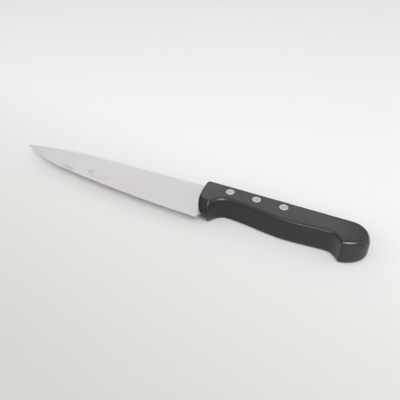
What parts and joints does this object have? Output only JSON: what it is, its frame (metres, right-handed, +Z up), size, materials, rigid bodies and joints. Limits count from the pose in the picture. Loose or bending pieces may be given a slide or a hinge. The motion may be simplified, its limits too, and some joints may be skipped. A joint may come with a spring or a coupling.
{
  "type": "kitchen knife",
  "caption": "Kitchen utility knife with a pointed, flat-ground steel blade and a black moulded handle with a guard and a hooked pommel, held by flush rivets.",
  "frame": {"origin": "on the surface that the knife lies on, under the middle of its bounding box", "axes": "+X from the point to the butt of the handle, +Y from the cutting edge to the spine, +Z up through the thickness, out of the handle's upper flat face"},
  "size_m": [0.2724, 0.033, 0.018],
  "materials": {
    "blade_steel": "satin ground stainless steel, with faint stains",
    "handle_plastic": "black moulded plastic, half gloss, fine wear",
    "rivet_metal": "turned aluminium, flush with the handle"
  },
  "bodies": {
    "root": {"blade": "blade_steel", "handle": "handle_plastic", "front_rivet_sleeve": "rivet_metal", "front_rivet_stud": "rivet_metal", "middle_rivet_sleeve": "rivet_metal", "middle_rivet_stud": "rivet_metal", "rear_rivet_sleeve": "rivet_metal", "rear_rivet_stud": "rivet_metal"}
  },
  "joints": []
}
